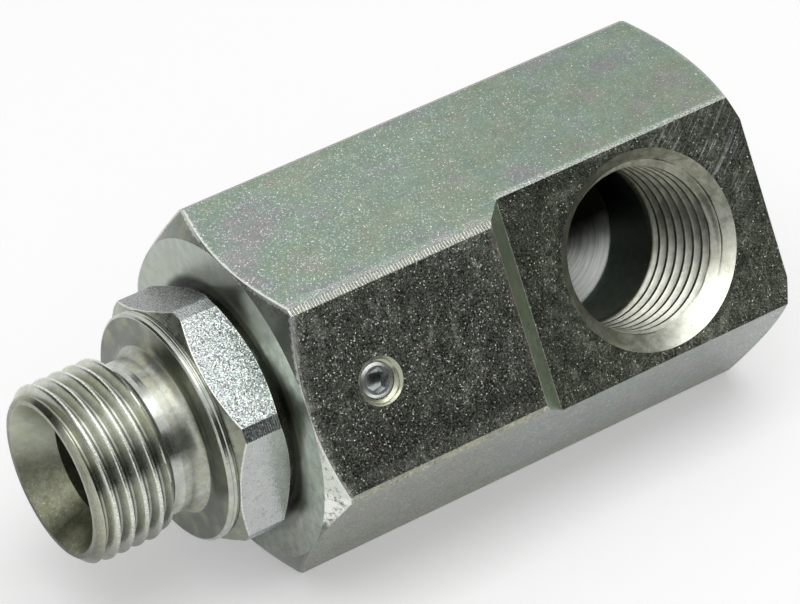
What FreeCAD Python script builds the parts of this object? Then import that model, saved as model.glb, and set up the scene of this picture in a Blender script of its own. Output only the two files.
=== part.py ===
# A hydraulic rotary union: a right-angle swivel between a male pipe stud and a female port.
# A hexagonal housing holds a hollow spindle on one row of balls, so that the stud turns under pressure.
# The origin is under the middle of the whole union, on the flat that it rests on.
# +X runs from the spindle's stud towards the closed end of the housing, +Z is up, lengths are millimetres.
import FreeCAD
import Part
import math
import os

# Housing, cut from hexagonal bar that is 38 mm across the flats
wall_over_race = 4.94
body_length = 63.0
body_chamfer_angle = 30.0
body_chamfer_width = 2.75
corner_break = 0.24

# Milled seat round the side port
recess_depth = 2.65
recess_length = 32.5
recess_ramp = 3.0

# Side port, a G 1/2 pipe thread with its crests at the drilled wall
port_from_rear = 16.0
port_drill = 18.631
port_countersink_width = 2.13
port_depth = 23.7

# Stud of the spindle, a G 1/2 pipe thread with its crests at the outside
stud_thread = 20.955
stud_length = 14.4
stud_end_chamfer = 1.2
neck_diameter = 17.8
neck_length = 4.1
neck_fillet = 1.8
thread_end_angle = 55.0
cone_mouth = 17.4
cone_angle = 60.0
flow_bore = 12.7

# Collar and spanner hexagon of the spindle
collar_diameter = 26.9
collar_width = 1.3
collar_edge = 0.15
spindle_across_flats = 27.0
spindle_hex_length = 6.4
spindle_chamfer_angle = 30.0
spindle_chamfer_width = 1.65
spindle_corner_break = 0.47
spindle_rest_angle = 31.6
face_gap = 0.8

# Ball bearing, one full row without a cage
pitch_diameter = 24.0
ball_diameter = 4.0
least_ball_gap = 0.1
race_clearance = 0.06
race_from_front = 9.25

# Fits of the journal in its bore
running_clearance = 0.06
seat_clearance = 0.06
lead_in = 0.8
end_float = 0.5

# Rings between journal and bore
wiper_from_front = 2.2
wiper_width = 2.6
wiper_depth = 2.0
guide_width = 4.0
guide_thickness = 1.0
seal_depth = 2.25
seal_width = 2.9
backup_width = 1.3
land = 2.1
groove_play = 0.15
journal_tail = 1.6

# Filling screw of the ball race
screw_diameter = 5.0
screw_sink = 0.9
screw_tip_clearance = 0.06
screw_tip_diameter = 3.5
screw_chamfer = 0.35
screw_socket = 2.5
screw_socket_depth = 2.0
filling_hole_play = 0.2
filling_countersink_width = 0.25

# Passage from the journal bore to the port
passage_diameter = 14.0

# The row holds as many balls as its pitch circle has room for, and the bar has its wall outside them
pitch_radius = pitch_diameter / 2
ball_count = int(math.pi / math.asin((ball_diameter + least_ball_gap) / pitch_diameter))
race_radius = ball_diameter / 2 + race_clearance
body_across_flats = 2 * (pitch_radius + race_radius + wall_over_race)

# Places worked out from the sizes above
shoulder_length = collar_width + spindle_hex_length
overall_length = stud_length + shoulder_length + face_gap + body_length
stud_end_x = -overall_length / 2
collar_x = stud_end_x + stud_length
hex_x = collar_x + collar_width
hex_rear_x = hex_x + spindle_hex_length
front_x = hex_rear_x + face_gap
rear_x = front_x + body_length
axis_z = body_across_flats / 2
flat_distance = body_across_flats / 2
recess_distance = flat_distance - recess_depth
port_x = rear_x - port_from_rear
port_normal_angle = 150.0

# The journal meets its bore at the balls' pitch circle
race_x = front_x + race_from_front
bore_radius = pitch_radius
journal_radius = bore_radius - running_clearance

# Each groove follows the one before it along the journal
wiper_x = front_x + wiper_from_front
front_guide_x = race_x + race_radius + land
seal_x = front_guide_x + guide_width + land
gland_width = seal_width + 2 * backup_width + 4 * groove_play
rear_guide_x = seal_x + gland_width + land
journal_end_x = rear_guide_x + guide_width + journal_tail
bore_end_x = journal_end_x + end_float


def turned(points):
    """A solid turned about the union's axis, from (x, radius) points of its outline."""
    corners = [FreeCAD.Vector(x, 0, axis_z + r) for x, r in points]
    outline = Part.makePolygon(corners + [corners[0]])
    face = Part.Face(outline)
    return face.revolve(FreeCAD.Vector(0, 0, axis_z), FreeCAD.Vector(1, 0, 0), 360)


def hexagonal_bar(across_flats, start_x, end_x, first_corner):
    """A hexagonal bar along the axis, with a corner at the given angle from +Y."""
    radius = across_flats / math.sqrt(3)
    corners = []
    for step in range(6):
        angle = math.radians(first_corner + 60 * step)
        corners.append(FreeCAD.Vector(start_x, radius * math.cos(angle), axis_z + radius * math.sin(angle)))
    face = Part.Face(Part.makePolygon(corners + [corners[0]]))
    return face.extrude(FreeCAD.Vector(end_x - start_x, 0, 0))


def turned_hexagon(bar, start_x, end_x, corner_radius, chamfer_width, angle):
    """A hexagonal bar with its corners broken by a cylinder and both ends chamfered by cones.

    The cones run on past the ends, so that the end faces stay the bar's own. They are spline
    surfaces, because the hyperbolas where exact cones cross the flats upset distance measurements.
    """
    slope = math.tan(math.radians(angle))
    run = chamfer_width * slope
    beyond = 1.0
    end_radius = corner_radius - chamfer_width - beyond / slope
    envelope = turned([
        (start_x - beyond, 0),
        (start_x - beyond, end_radius),
        (start_x + run, corner_radius),
        (end_x - run, corner_radius),
        (end_x + beyond, end_radius),
        (end_x + beyond, 0),
    ])
    return bar.common(envelope.toNurbs())


def ring(start_x, end_x, inner_radius, outer_radius):
    """A plain turned ring."""
    return turned([
        (start_x, inner_radius),
        (start_x, outer_radius),
        (end_x, outer_radius),
        (end_x, inner_radius),
    ])


def squeezed_ring(start_x, end_x, inner_radius, outer_radius):
    """A seal ring in its groove: two flats where it is squeezed, joined by half-round sides."""
    bulge = (outer_radius - inner_radius) / 2
    low = axis_z + inner_radius
    high = axis_z + outer_radius
    middle = (low + high) / 2
    inner_start = FreeCAD.Vector(start_x + bulge, 0, low)
    inner_end = FreeCAD.Vector(end_x - bulge, 0, low)
    outer_start = FreeCAD.Vector(start_x + bulge, 0, high)
    outer_end = FreeCAD.Vector(end_x - bulge, 0, high)
    sides = [
        Part.LineSegment(inner_start, inner_end).toShape(),
        Part.Arc(inner_end, FreeCAD.Vector(end_x, 0, middle), outer_end).toShape(),
        Part.LineSegment(outer_end, outer_start).toShape(),
        Part.Arc(outer_start, FreeCAD.Vector(start_x, 0, middle), inner_start).toShape(),
    ]
    face = Part.Face(Part.Wire(sides))
    return face.revolve(FreeCAD.Vector(0, 0, axis_z), FreeCAD.Vector(1, 0, 0), 360)


def circular_edges(solid):
    """The round edges of a turned solid, without the seam lines of its faces."""
    return [edge for edge in solid.Edges if isinstance(edge.Curve, Part.Circle)]


def race_torus():
    """The round channel that the balls run in, half in the housing and half in the journal."""
    centre = FreeCAD.Vector(race_x, 0, axis_z)
    return Part.makeTorus(pitch_radius, race_radius, centre, FreeCAD.Vector(1, 0, 0))


def across_port(x, distance, depth, start_radius, end_radius):
    """A round tool that enters the port flat's side at a distance from the axis and goes in by depth."""
    angle = math.radians(port_normal_angle)
    outward = FreeCAD.Vector(0, math.cos(angle), math.sin(angle))
    start = FreeCAD.Vector(x, 0, axis_z) + outward * distance
    if start_radius == end_radius:
        return Part.makeCylinder(start_radius, depth, start, outward * -1)
    return Part.makeCone(start_radius, end_radius, depth, start, outward * -1)


def recess_cutter():
    """The milled seat round the port: a flat pocket, open at the rear, that ends in a ramp."""
    floor_x = rear_x - recess_length
    beyond = 1.0
    ramp_beyond = beyond * recess_ramp / recess_depth
    profile = [
        (floor_x, recess_distance),
        (floor_x - recess_ramp - ramp_beyond, flat_distance + beyond),
        (rear_x + beyond, flat_distance + beyond),
        (rear_x + beyond, recess_distance),
    ]
    angle = math.radians(port_normal_angle)
    outward = FreeCAD.Vector(0, math.cos(angle), math.sin(angle))
    along = FreeCAD.Vector(0, -math.sin(angle), math.cos(angle))
    corners = []
    for x, distance in profile:
        corners.append(FreeCAD.Vector(x, 0, axis_z) + outward * distance - along * body_across_flats)
    face = Part.Face(Part.makePolygon(corners + [corners[0]]))
    return face.extrude(along * (2 * body_across_flats))


def housing_bore():
    """Everything turned into the housing from its front: the journal bore, wiper groove and passage."""
    wiper_radius = bore_radius + wiper_depth
    return turned([
        (front_x - 1, 0),
        (front_x - 1, bore_radius + lead_in + 1),
        (front_x + lead_in, bore_radius),
        (wiper_x, bore_radius),
        (wiper_x, wiper_radius),
        (wiper_x + wiper_width, wiper_radius),
        (wiper_x + wiper_width, bore_radius),
        (bore_end_x, bore_radius),
        (bore_end_x, passage_diameter / 2),
        (port_x, passage_diameter / 2),
        (port_x, 0),
    ])


def port_cutter():
    """The side port: a countersink, and a drilled wall at the thread's crests that ends in a flat floor."""
    drill = port_drill / 2
    mouth = drill + port_countersink_width
    beyond = 0.5
    countersink = across_port(port_x, recess_distance + beyond, mouth - drill + beyond, mouth + beyond, drill)
    wall = across_port(port_x, recess_distance + beyond, port_depth + beyond, drill, drill)
    return countersink.fuse(wall)


def filling_cutter():
    """The ball filling hole: countersink, the screw's thread, and the way into the race."""
    tip_distance = screw_tip_distance()
    hole = screw_diameter / 2
    mouth = hole + filling_countersink_width
    way_in = (ball_diameter + filling_hole_play) / 2
    beyond = 0.2
    countersink = across_port(race_x, flat_distance + beyond, mouth - hole + beyond, mouth + beyond, hole)
    threaded = across_port(race_x, flat_distance + beyond, flat_distance + beyond - tip_distance, hole, hole)
    into_race = across_port(race_x, flat_distance, flat_distance - pitch_radius + ball_diameter / 4,
                            way_in, way_in)
    return countersink.fuse([threaded, into_race])


def screw_tip_distance():
    """How far from the axis the filling screw ends, just clear of the passing balls."""
    return pitch_radius + race_radius + screw_tip_clearance


def make_housing():
    """The hexagonal housing, turned at both ends, bored, milled and drilled."""
    bar = hexagonal_bar(body_across_flats, front_x, rear_x, 0)
    corner_radius = body_across_flats / math.sqrt(3) - corner_break
    blank = turned_hexagon(bar, front_x, rear_x, corner_radius, body_chamfer_width, body_chamfer_angle)
    milled = blank.cut(recess_cutter())
    return milled.cut([housing_bore(), race_torus(), port_cutter(), filling_cutter()])


def stud_outline():
    """The outside of the stud from its end face to the collar's rim."""
    thread = stud_thread / 2
    neck = neck_diameter / 2
    neck_x = collar_x - neck_length
    thread_end_run = (thread - neck) / math.tan(math.radians(thread_end_angle))
    return [
        (stud_end_x, thread - stud_end_chamfer),
        (stud_end_x + stud_end_chamfer, thread),
        (neck_x - thread_end_run, thread),
        (neck_x, neck),
        (collar_x, neck),
    ]


def make_stud():
    """The threaded stud, its neck and the collar, filleted where the neck meets the collar."""
    outline = stud_outline()
    rim = collar_diameter / 2
    solid = turned([(stud_end_x, 0)] + outline + [
        (collar_x, rim - collar_edge),
        (collar_x + collar_edge, rim),
        (hex_x + collar_edge, rim),
        (hex_x + collar_edge, 0),
    ])
    root = neck_diameter / 2
    edges = []
    for edge in circular_edges(solid):
        at_collar = abs(edge.Curve.Center.x - collar_x) < 0.01
        if at_collar and abs(edge.Curve.Radius - root) < 0.01:
            edges.append(edge)
    return solid.makeFillet(neck_fillet, edges)


def make_spanner_hexagon():
    """The hexagon behind the collar, with turned chamfers at both ends."""
    bar = hexagonal_bar(spindle_across_flats, hex_x, hex_rear_x, spindle_rest_angle)
    corner_radius = spindle_across_flats / math.sqrt(3) - spindle_corner_break
    return turned_hexagon(bar, hex_x, hex_rear_x, corner_radius, spindle_chamfer_width,
                          spindle_chamfer_angle)


def make_journal():
    """The journal inside the housing, with its grooves for the guide rings and the seal."""
    guide_root = journal_radius - guide_thickness
    seal_root = bore_radius - seal_depth
    guide_groove = guide_width + 2 * groove_play
    return turned([
        (hex_x, 0),
        (hex_x, journal_radius),
        (front_guide_x - groove_play, journal_radius),
        (front_guide_x - groove_play, guide_root),
        (front_guide_x - groove_play + guide_groove, guide_root),
        (front_guide_x - groove_play + guide_groove, journal_radius),
        (seal_x, journal_radius),
        (seal_x, seal_root),
        (seal_x + gland_width, seal_root),
        (seal_x + gland_width, journal_radius),
        (rear_guide_x - groove_play, journal_radius),
        (rear_guide_x - groove_play, guide_root),
        (rear_guide_x - groove_play + guide_groove, guide_root),
        (rear_guide_x - groove_play + guide_groove, journal_radius),
        (journal_end_x - lead_in, journal_radius),
        (journal_end_x, journal_radius - lead_in),
        (journal_end_x, 0),
    ])


def spindle_bore():
    """The flow bore through the spindle and its sealing cone in the stud's end."""
    mouth = cone_mouth / 2
    bore = flow_bore / 2
    half_angle = math.tan(math.radians(cone_angle / 2))
    beyond = 0.5
    return turned([
        (stud_end_x - beyond, 0),
        (stud_end_x - beyond, mouth + beyond * half_angle),
        (stud_end_x + (mouth - bore) / half_angle, bore),
        (journal_end_x + beyond, bore),
        (journal_end_x + beyond, 0),
    ])


def make_spindle():
    """The turning spindle: stud, collar, hexagon and grooved journal in one piece."""
    solid = make_stud().fuse([make_spanner_hexagon(), make_journal()])
    return solid.removeSplitter().cut([spindle_bore(), race_torus()])


def make_filling_screw():
    """The headless screw that closes the filling hole, with a hexagon socket and a flat tip."""
    outer_distance = flat_distance - screw_sink
    tip_distance = screw_tip_distance()
    length = outer_distance - tip_distance
    hole = screw_diameter / 2
    tip_run = hole - screw_tip_diameter / 2
    shank = across_port(race_x, outer_distance - screw_chamfer, length - screw_chamfer - tip_run, hole, hole)
    top = across_port(race_x, outer_distance, screw_chamfer, hole - screw_chamfer, hole)
    tip = across_port(race_x, tip_distance + tip_run, tip_run, hole, screw_tip_diameter / 2)
    drill_radius = screw_socket / 2
    drill_cone = across_port(race_x, outer_distance - screw_socket_depth,
                             drill_radius * math.tan(math.radians(30)), drill_radius, 0)
    return shank.fuse([top, tip]).removeSplitter().cut([socket_prism(outer_distance), drill_cone])


def socket_prism(outer_distance):
    """The hexagon socket of the filling screw, standing on the port flat's normal."""
    angle = math.radians(port_normal_angle)
    outward = FreeCAD.Vector(0, math.cos(angle), math.sin(angle))
    across = FreeCAD.Vector(0, -math.sin(angle), math.cos(angle))
    along = FreeCAD.Vector(1, 0, 0)
    centre = FreeCAD.Vector(race_x, 0, axis_z) + outward * outer_distance
    radius = screw_socket / math.sqrt(3)
    corners = []
    for step in range(6):
        turn = math.radians(60 * step + 10)
        corners.append(centre + along * (radius * math.cos(turn)) + across * (radius * math.sin(turn)))
    face = Part.Face(Part.makePolygon(corners + [corners[0]]))
    return face.extrude(outward * -screw_socket_depth)


def make_ball(index):
    """One ball of the row. The first lies a half step beside the filling hole."""
    angle = math.radians(port_normal_angle + 360 / ball_count * (index + 0.5))
    centre = FreeCAD.Vector(race_x, pitch_radius * math.cos(angle), axis_z + pitch_radius * math.sin(angle))
    return Part.makeSphere(ball_diameter / 2, centre, FreeCAD.Vector(1, 0, 0))


def make_wiper():
    """The dust wiper in the housing's front groove: a ring whose lip leans out over the journal."""
    outer = bore_radius + wiper_depth - seat_clearance
    start = wiper_x + groove_play
    end = wiper_x + wiper_width - groove_play
    lip = journal_radius + seat_clearance
    heel = bore_radius + wiper_depth * 0.4
    return turned([
        (start, lip),
        (start, heel + wiper_depth * 0.3),
        (start + (end - start) * 0.4, outer),
        (end, outer),
        (end, heel),
        (start + (end - start) * 0.55, heel),
        (start + (end - start) * 0.3, lip),
    ])


def make_guide_ring(start):
    """A guide strip round the journal, cut through at a slant so that it can be sprung into its groove."""
    inner = journal_radius - guide_thickness + seat_clearance
    outer = bore_radius - seat_clearance
    strip = ring(start, start + guide_width, inner, outer)
    slit = Part.makeBox(guide_width * 2, 0.6, guide_thickness * 4,
                        FreeCAD.Vector(-guide_width, -0.3, bore_radius - guide_thickness * 2))
    slit.rotate(FreeCAD.Vector(0, 0, 0), FreeCAD.Vector(0, 0, 1), 35)
    slit.translate(FreeCAD.Vector(start + guide_width / 2, 0, axis_z))
    return strip.cut(slit)


def make_seal():
    """The main seal ring, squeezed between the groove's root and the bore."""
    start = seal_x + backup_width + 2 * groove_play
    inner = bore_radius - seal_depth + seat_clearance
    outer = bore_radius - seat_clearance
    return squeezed_ring(start, start + seal_width, inner, outer)


def make_backup(start):
    """A backup ring that keeps the seal from creeping into the running gap."""
    inner = bore_radius - seal_depth + seat_clearance
    outer = bore_radius - seat_clearance
    return ring(start, start + backup_width, inner, outer)


def write(name, solid):
    """One STEP file for each piece."""
    solid.exportStep(os.path.join("parts", name + ".step"))
    print(name, "valid", solid.isValid(), "solids", len(solid.Solids), "volume", round(solid.Volume, 2))


os.makedirs("parts", exist_ok=True)
write("housing", make_housing())
write("spindle", make_spindle())
write("filling_screw", make_filling_screw())
for number in range(ball_count):
    write("ball_%02d" % (number + 1), make_ball(number))
write("dust_wiper", make_wiper())
write("front_guide_ring", make_guide_ring(front_guide_x))
write("rear_guide_ring", make_guide_ring(rear_guide_x))
write("seal_ring", make_seal())
write("front_backup_ring", make_backup(seal_x + groove_play))
write("rear_backup_ring", make_backup(seal_x + backup_width + seal_width + 3 * groove_play))
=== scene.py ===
# %% [markdown]
# # A hydraulic rotary union
#
# A rotary union joins a fixed hose to a part that turns. A hexagonal housing takes the hose in
# a threaded side port, and a spindle with a threaded stud turns in its end on a ring of balls.
# This lesson dresses the packed model of that union: it makes finer meshes for the pieces that
# are seen, and gives every piece a finish made only of shader nodes.
#
# We work in millimetres while shaping, because the real sizes are easy to read that way, and
# turn each mesh into metres as the last thing before it is stored.

import math

import bmesh
import bpy
from mathutils import Matrix, Quaternion, Vector


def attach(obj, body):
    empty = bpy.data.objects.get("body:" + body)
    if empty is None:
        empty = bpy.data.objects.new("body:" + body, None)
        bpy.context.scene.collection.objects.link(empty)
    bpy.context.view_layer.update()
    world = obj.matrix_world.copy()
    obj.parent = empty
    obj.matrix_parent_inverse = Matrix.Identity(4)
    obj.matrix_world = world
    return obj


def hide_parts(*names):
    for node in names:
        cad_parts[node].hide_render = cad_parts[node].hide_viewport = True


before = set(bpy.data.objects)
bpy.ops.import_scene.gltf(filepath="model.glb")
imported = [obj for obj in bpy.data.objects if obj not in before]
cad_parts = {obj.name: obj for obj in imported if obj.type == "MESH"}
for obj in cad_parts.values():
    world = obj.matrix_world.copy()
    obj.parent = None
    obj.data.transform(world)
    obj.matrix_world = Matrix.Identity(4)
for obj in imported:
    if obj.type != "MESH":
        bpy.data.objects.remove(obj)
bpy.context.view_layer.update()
bpy.context.scene.view_settings.view_transform = "Standard"
MM = 0.001

# %% [markdown]
# ## The camera
#
# The photograph was taken from above, in front and a little to the left, with a long lens from
# about half a metre. Such a lens keeps parallel edges nearly parallel. We could place the camera
# by eye, but it is better to work it out from edges whose real sizes are known, and to write
# down the result: where it stands, what it looks at, and how far it is rolled.

# %% Camera
def placed(name, data):
    """A new object for a mesh, a lamp or a camera, put in the scene."""
    piece = bpy.data.objects.new(name, data)
    bpy.context.scene.collection.objects.link(piece)
    return piece


def aim_camera(stand, target, roll_degrees, lens):
    """A camera that stands at one point, looks at another and is rolled about its line of sight."""
    data = bpy.data.cameras.new("photo_camera")
    data.lens = lens
    data.sensor_width = 36
    data.sensor_fit = "HORIZONTAL"
    data.clip_start = 0.01
    camera = placed("photo_camera", data)
    sight = Vector(target) - Vector(stand)
    level = sight.to_track_quat("-Z", "Y")
    rolled = level @ Quaternion((0, 0, 1), math.radians(roll_degrees))
    camera.matrix_world = Matrix.Translation(stand) @ rolled.to_matrix().to_4x4()
    bpy.context.scene.camera = camera
    return camera


camera = aim_camera((-0.20710, -0.31690, 0.33783), (0.00304, 0.00039, 0.02141), -1.305, 198.9)
print("camera right:", [round(v, 4) for v in camera.matrix_world.col[0][:3]])

# %% [markdown]
# ## Sizes
#
# The union lies along X. Its stud points to -X, its axis runs 19 mm above the floor, and its
# port leans 30 degrees above -Y. These are the sizes of the real pieces, in millimetres. A
# hexagon's inradius reaches its flats, its corner is where the lathe cut the sharp edge off, and
# its circle is where the end chamfer begins.

# %% Sizes of the pieces
AXIS_Z = 19.0
FRONT_X, REAR_X = -20.05, 42.95
BODY_INRADIUS, BODY_CORNER = 19.0, 21.70
BODY_CIRCLE = BODY_CORNER - 2.75
RACE_X, RACE_RADIUS, PITCH_RADIUS = -10.8, 2.06, 12.0
BORE, JOURNAL, FLOW_BORE, PASSAGE = 12.0, 11.94, 6.35, 7.0
PORT_X, SEAT = 26.95, 16.35
SEAT_LENGTH, SEAT_DEPTH, SEAT_RAMP = 32.5, 2.65, 3.0
PORT_MINOR, PORT_MAJOR, PITCH = 9.3155, 10.4775, 1.814
COUNTERSINK, PORT_DEPTH, THREAD_DEPTH = 2.13, 23.7, 15.1
STUD_X, COLLAR_X, HEX_X, HEX_REAR_X = -42.95, -28.55, -27.25, -20.85
STUD_NOSE = PORT_MAJOR - 1.2
HEX_INRADIUS, HEX_CORNER = 13.5, 15.118
HEX_CIRCLE = HEX_CORNER - 1.65
JOURNAL_END_X = 13.26
REST_ANGLE = 31.6
PORT_OUT = Vector((0.0, -math.cos(math.radians(30)), math.sin(math.radians(30))))
PORT_UP = Vector((0.0, math.sin(math.radians(30)), math.cos(math.radians(30))))
TAN30 = math.tan(math.radians(30))


def on_axis(along, radius, angle):
    """A point round the union's axis, in millimetres."""
    return (along, radius * math.cos(angle), AXIS_Z + radius * math.sin(angle))


def into_hole(centre_x, surface):
    """Gives the function that places a point round a hole sunk square into the port's side."""
    def place(depth, radius, angle):
        point = PORT_OUT * (surface - depth) + PORT_UP * (radius * math.sin(angle))
        return (centre_x + radius * math.cos(angle), point.y, AXIS_Z + point.z)
    return place


print("length over all:", REAR_X - STUD_X, "mm")

# %% [markdown]
# ## One way to make every turned piece
#
# Nearly every piece here was made on a lathe, so a short list of (distance, radius) points is
# the whole of its shape. Sharp corners look wrong in close-up, because a real edge always
# catches a line of light. The first helper eases each corner of such an outline with a small
# arc, and keeps the number of points the same at every angle. The second gives the angles that a
# hexagon needs: close together at its turned corners, even along its flats.

# %% Outline helpers
def eased(points, radius, steps=2):
    """Replaces each inner corner of an outline by an arc of `steps` spans, never past mid-edge."""
    result = [points[0]]
    for before, corner, after in zip(points, points[1:], points[2:]):
        a, c, b = Vector(before), Vector(corner), Vector(after)
        incoming, outgoing = a - c, b - c
        if incoming.length < 1e-9 or outgoing.length < 1e-9:
            result += [corner] * (steps + 1)
            continue
        turn = math.pi - incoming.angle(outgoing)
        cut = min(radius * math.tan(turn / 2), 0.45 * incoming.length, 0.45 * outgoing.length)
        start = c + incoming.normalized() * cut
        end = c + outgoing.normalized() * cut
        for step in range(steps + 1):
            t = step / steps
            result.append(tuple(start * (1 - t) ** 2 + c * (2 * t * (1 - t)) + end * t ** 2))
    result.append(points[-1])
    return result


def hexagon_section(inradius, corner_radius, first_corner, easing, flat_steps):
    """The angles and radii round a hexagonal bar whose corners are turned to a circle."""
    half_band = math.pi / 6 - math.acos(inradius / corner_radius)
    start = math.radians(first_corner)
    outline = []
    for side in range(7):
        corner = start + side * math.pi / 3
        for angle in (corner - half_band, corner + half_band):
            outline.append((corner_radius * math.cos(angle), corner_radius * math.sin(angle)))
    rounded = eased(outline, easing)[1:-1]
    section = []
    for (x0, y0), (x1, y1) in zip(rounded, rounded[1:] + rounded[:1]):
        spans = flat_steps if math.hypot(x1 - x0, y1 - y0) > 5 else 1
        for step in range(spans):
            x = x0 + (x1 - x0) * step / spans
            y = y0 + (y1 - y0) * step / spans
            section.append((start + (math.atan2(y, x) - start) % (2 * math.pi), math.hypot(x, y)))
    section.sort(key=lambda pair: pair[0])
    kept = section[:1]
    kept += [pair for last, pair in zip(section, section[1:]) if pair[0] - last[0] > 1e-5]
    return [angle for angle, radius in kept], [radius for angle, radius in kept]


def on_band(radii, corner, slack):
    """Whether the span after each angle lies on a turned corner rather than on a flat."""
    near = [radius > corner - slack for radius in radii]
    return [one and other for one, other in zip(near, near[1:] + near[:1])]


body_angles, body_radii = hexagon_section(BODY_INRADIUS, BODY_CORNER, 0, 0.25, 28)
hex_angles, hex_radii = hexagon_section(HEX_INRADIUS, HEX_CORNER, REST_ANGLE, 0.2, 24)
print("angles round the housing:", len(body_angles), "and round the spindle:", len(hex_angles))

# %% [markdown]
# ## Threads that really climb
#
# A thread is no more than a turned outline that climbs as it goes round. A mesh could show it as
# a stack of separate rings, but then the stud's end and the countersink look wrong. Here each
# row of a thread ends one turn further on than it began, and the mesh maker joins it to that
# later row, so every crest lies on an unbroken line of edges. A row holds one (distance, radius)
# pair for each angle, and blocks of rows carry the number of the finish of their faces.

# %% Thread and mesh helpers
ROUNDING, FLANK = 0.1373, math.radians(27.5)


def thread_form(phase, pitch, crest, root):
    """Radius of a rounded 55 degree thread: phase 0 is the middle of a crest."""
    away = abs((phase + 0.5) % 1 - 0.5) * pitch
    rounding = ROUNDING * pitch
    tangent = rounding * math.cos(FLANK)
    drop = rounding * (1 - math.sin(FLANK))
    if away > pitch / 2 - tangent:
        near = pitch / 2 - away
        depth = abs(crest - root) - rounding + math.sqrt(rounding ** 2 - near ** 2)
    elif away < tangent:
        depth = rounding - math.sqrt(rounding ** 2 - away ** 2)
    else:
        share = (away - tangent) / (pitch / 2 - 2 * tangent)
        depth = drop + share * (abs(crest - root) - 2 * drop)
    return crest + math.copysign(depth, root - crest)


def thread_rows(start, end, pitch, angles, radius_at, per_turn=16):
    """Rows that climb one pitch a turn from start to end."""
    step = pitch / per_turn
    count = math.ceil((end - start) / step) + 2 * per_turn
    rows = []
    for index in range(-per_turn, count - per_turn):
        row = []
        for angle in angles:
            turn = (angle - angles[0]) / (2 * math.pi)
            along = min(max(start + (index + per_turn * turn) * step, start), end)
            row.append((along, radius_at(along, (along - start) / pitch - turn, angle)))
        rows.append(row)
    return rows


def ring_rows(points, angles):
    """Rows that are the same all the way round."""
    return [[tuple(point)] * len(angles) for point in points]


def build_rows(name, blocks, angles, place, loop=False):
    """Makes a mesh from blocks of (rows, rows a turn or 0, finish number of its faces)."""
    rows, wrap, slots = [], [], []
    for block, per_turn, slot in blocks:
        last = len(rows) + len(block) - 1
        for row in block:
            wrap.append(min(len(rows) + per_turn, last))
            rows.append(row)
            slots.append(slot)
    solid = bmesh.new()
    grid = []
    for row in rows:
        grid.append([solid.verts.new(Vector(place(along, radius, angle)) * MM)
                     for (along, radius), angle in zip(row, angles)])
    pairs = list(zip(range(len(rows)), range(1, len(rows))))
    if loop:
        pairs.append((len(rows) - 1, 0))
    for low, high in pairs:
        for j in range(len(angles)):
            if j < len(angles) - 1:
                beyond = grid[high][j + 1], grid[low][j + 1]
            else:
                beyond = grid[wrap[high]][0], grid[wrap[low]][0]
            corners = list(dict.fromkeys((grid[low][j], grid[high][j], *beyond)))
            if len(corners) > 2:
                slot = slots[low]
                solid.faces.new(corners).material_index = slot(j) if callable(slot) else slot
    bmesh.ops.remove_doubles(solid, verts=solid.verts, dist=2e-7)
    bmesh.ops.dissolve_degenerate(solid, edges=solid.edges, dist=1e-7)
    bmesh.ops.recalc_face_normals(solid, faces=solid.faces)
    open_edges = sum(1 for edge in solid.edges if not edge.is_manifold)
    mesh = bpy.data.meshes.new(name)
    solid.to_mesh(mesh)
    solid.free()
    print(f"{name}: {len(mesh.polygons)} faces, {open_edges} open edges")
    return placed(name, mesh)


print("depth of the pipe thread:", round(PORT_MAJOR - PORT_MINOR, 3), "mm")

# %% [markdown]
# ## Cutting one solid with another
#
# Milled seats, ports and sockets are cut into a turned blank, and a boolean does just that. We
# run it as a modifier and keep its result as a plain mesh. Each cutter's faces bring their own
# finish with them, so a bored wall can look different from the bar that it was bored into.

# %% Cutting helpers
def carve(piece, cutter):
    """Cuts the cutter out of the piece and removes the cutter."""
    before = len(piece.data.polygons)
    cut = piece.modifiers.new("cut", "BOOLEAN")
    cut.object = cutter
    cut.operation = "DIFFERENCE"
    cut.solver = "EXACT"
    cut.material_mode = "INDEX"
    shapes = bpy.context.evaluated_depsgraph_get()
    result = bpy.data.meshes.new_from_object(piece.evaluated_get(shapes))
    piece.modifiers.remove(cut)
    old = piece.data
    piece.data = result
    result.name = piece.name
    bpy.data.meshes.remove(old)
    spent = cutter.data
    bpy.data.objects.remove(cutter)
    bpy.data.meshes.remove(spent)
    print(f"{piece.name}: {before} faces before the cut, {len(result.polygons)} after")


def smooth(piece, degrees=32):
    """Shades smooth, with hard edges where faces meet at more than the angle."""
    piece.data.polygons.foreach_set("use_smooth", [True] * len(piece.data.polygons))
    piece.data.set_sharp_from_angle(angle=math.radians(degrees))
    weights = piece.modifiers.new("even_shading", "WEIGHTED_NORMAL")
    weights.keep_sharp = True
    weights.weight = 80
    print(piece.name, "shades hard past", degrees, "degrees")


# %% [markdown]
# ## The housing
#
# The housing began as a length of hexagonal bar. A lathe faced both ends, chamfered them with a
# 30 degree cone, took the sharp corners off the hexagon and bored the middle. The cone meets each
# flat in a curve, so the outline differs at every angle: the helper gets a row whose distance
# and radius follow the hexagon. The corner bands are narrow cylinders left by the lathe. Each
# kind of surface gets a number of its own here, and its finish further down.

# %% Housing blank
(DRAWN, TURNED, BAND, MILLED, THREADED, BORED, FACED,
 TOP, SIDE, CONE, RAMP, SCREWED, LOWER) = range(13)
WIPER_GROOVE = (-15.25, -17.85, 14.0)
LEAD_IN = 0.8


def chamfered_rows(radii, near_x, far_x, circle, before, after):
    """Rows over a hexagon with a cone at both ends, between the points before and after it."""
    columns = []
    for radius in radii:
        run = (radius - circle) * TAN30
        corners = [(near_x, circle), (near_x + run, radius), (far_x - run, radius), (far_x, circle)]
        columns.append(eased(before + corners + after, 0.10)[1:])
    return [list(row) for row in zip(*columns)]


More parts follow.
